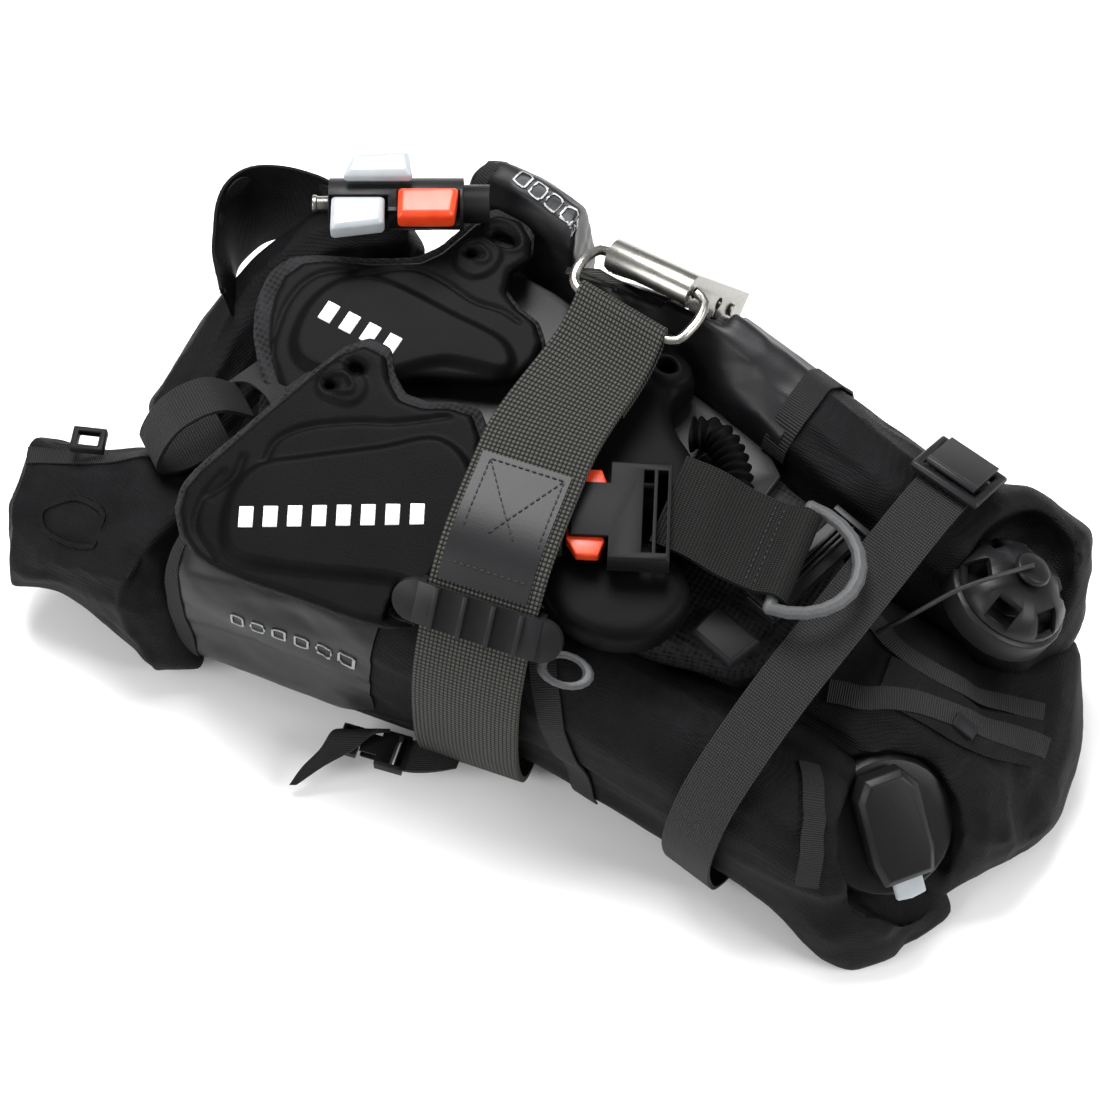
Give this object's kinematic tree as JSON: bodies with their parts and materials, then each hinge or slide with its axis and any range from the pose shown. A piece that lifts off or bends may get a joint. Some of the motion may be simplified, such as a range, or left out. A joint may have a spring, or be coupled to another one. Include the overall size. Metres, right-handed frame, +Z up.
{
  "type": "buoyancy compensator vest",
  "caption": "Diver's buoyancy vest folded into a travel bundle: tank band with steel cam buckle, moulded shoulder and hip pads, waist buckle, D-ring, dump valves and inflator.",
  "frame": {"origin": "on the tank band's underside, under the middle of the bundle, level with the floor it lies on", "axes": "+X along the bundle towards the dump valves, +Y across it towards the cam buckle's side, +Z up out of the harness side"},
  "size_m": [0.5, 0.2725, 0.1786],
  "materials": {
    "frame_plastic": "injection moulded",
    "webbing": "woven polyester",
    "steel": "polished stainless",
    "grey_plastic": "moulded satin",
    "shell_fabric": "matte coated nylon",
    "coated_panel": "smooth coated",
    "mesh_fabric": "open mesh",
    "moulded_pad": "moulded, satin",
    "orange": "moulded gloss",
    "grey_ring": "coated grey",
    "hose_rubber": "matte"
  },
  "bodies": {
    "bundle": {"band_keeper": "frame_plastic", "tank_band": "webbing", "band_patch": "webbing", "cam_bail": "steel", "cinch_strap": "webbing", "cinch_buckle": "frame_plastic", "rear_valve_base": "frame_plastic", "rear_valve_dome": "frame_plastic", "rear_valve_spring": "steel", "hip_valve_base": "frame_plastic", "hip_valve_cover": "frame_plastic", "near_lobe": "shell_fabric", "far_lobe": "shell_fabric", "end_fold": "shell_fabric", "wing_corner": "shell_fabric", "wing_collar": "shell_fabric", "shoulder_flap": "shell_fabric", "near_side_panel": "coated_panel", "far_side_panel": "coated_panel", "back_panel": "mesh_fabric", "air_cell": "shell_fabric", "back_cushion": "mesh_fabric", "backplate": "frame_plastic", "shoulder_yoke_far": "moulded_pad", "shoulder_yoke_near": "moulded_pad", "hip_pad_far": "moulded_pad", "hip_pad_near": "moulded_pad", "waist_buckle_socket": "frame_plastic", "waist_belt": "webbing", "weight_rail": "frame_plastic", "weight_clip": "frame_plastic", "zip_pocket": "shell_fabric", "inflator_body": "frame_plastic", "mouthpiece": "grey_plastic", "inflator_nipple": "steel", "corrugated_hose": "hose_rubber", "grab_loop": "webbing", "flap_clip": "frame_plastic", "side_buckle_socket": "frame_plastic", "snap_ring": "grey_ring"},
    "cam_lever": {"cam_lever": "steel", "cam_roller": "steel"},
    "waist_plug": {"waist_buckle_plug": "frame_plastic"},
    "latch_far": {"buckle_latch_far": "orange"},
    "latch_near": {"buckle_latch_near": "orange"},
    "d_ring": {"d_ring": "grey_ring"},
    "cinch_lever": {"cinch_lever": "frame_plastic"},
    "rear_knob": {"rear_valve_knob": "frame_plastic", "pull_cord": "hose_rubber"},
    "hip_tab": {"hip_valve_tab": "grey_plastic"},
    "inflate_button": {"inflate_button": "grey_plastic"},
    "deflate_button": {"deflate_button": "orange"},
    "side_plug": {"side_buckle_plug": "frame_plastic"},
    "zip_slider": {"zip_slider": "frame_plastic"}
  },
  "joints": [
    {"name": "cam_lever_hinge", "type": "hinge", "parent": "bundle", "child": "cam_lever", "pos_m": [0.017, 0.086, 0.167], "axis": [0.9853, -0.0689, 0.1564], "range_deg": [0, 110]},
    {"name": "waist_buckle_slide", "type": "slide", "parent": "bundle", "child": "waist_plug", "axis": [-0.8829, -0.4695, 0], "range_m": [0, 0.024]},
    {"name": "latch_far_flex", "type": "hinge", "parent": "waist_plug", "child": "latch_far", "pos_m": [0.03737, -0.02454, 0.151], "axis": [0, 0, -1], "range_deg": [0, 6], "stiffness_Nm_per_rad": 0.6},
    {"name": "latch_near_flex", "type": "hinge", "parent": "waist_plug", "child": "latch_near", "pos_m": [0.04582, -0.04043, 0.151], "axis": [0, 0, 1], "range_deg": [0, 6], "stiffness_Nm_per_rad": 0.6},
    {"name": "d_ring_hinge", "type": "hinge", "parent": "bundle", "child": "d_ring", "pos_m": [0.13334, 0.00557, 0.138], "axis": [0.153, -0.9882, 0], "range_deg": [0, 110]},
    {"name": "cinch_lever_hinge", "type": "hinge", "parent": "bundle", "child": "cinch_lever", "pos_m": [0.17516, 0.07748, 0.14074], "axis": [0.9898, -0.1426, 0], "range_deg": [0, 60]},
    {"name": "rear_valve_pull", "type": "slide", "parent": "bundle", "child": "rear_knob", "axis": [0.2794, 0.3393, 0.8982], "range_m": [0, 0.005], "stiffness_N_per_m": 900},
    {"name": "hip_valve_pull", "type": "slide", "parent": "bundle", "child": "hip_tab", "axis": [0.6, -0.4783, -0.6413], "range_m": [0, 0.003], "stiffness_N_per_m": 900},
    {"name": "inflate_press", "type": "slide", "parent": "bundle", "child": "inflate_button", "axis": [0, 0, -1], "range_m": [0, 0.003], "stiffness_N_per_m": 900},
    {"name": "deflate_press", "type": "slide", "parent": "bundle", "child": "deflate_button", "axis": [0, 0, -1], "range_m": [0, 0.003], "stiffness_N_per_m": 900},
    {"name": "side_buckle_slide", "type": "slide", "parent": "bundle", "child": "side_plug", "axis": [-0.9703, -0.2419, 0], "range_m": [0, 0.014]},
    {"name": "zip_slide", "type": "slide", "parent": "bundle", "child": "zip_slider", "axis": [0.9061, 0, -0.423], "range_m": [0, 0.012]}
  ]
}
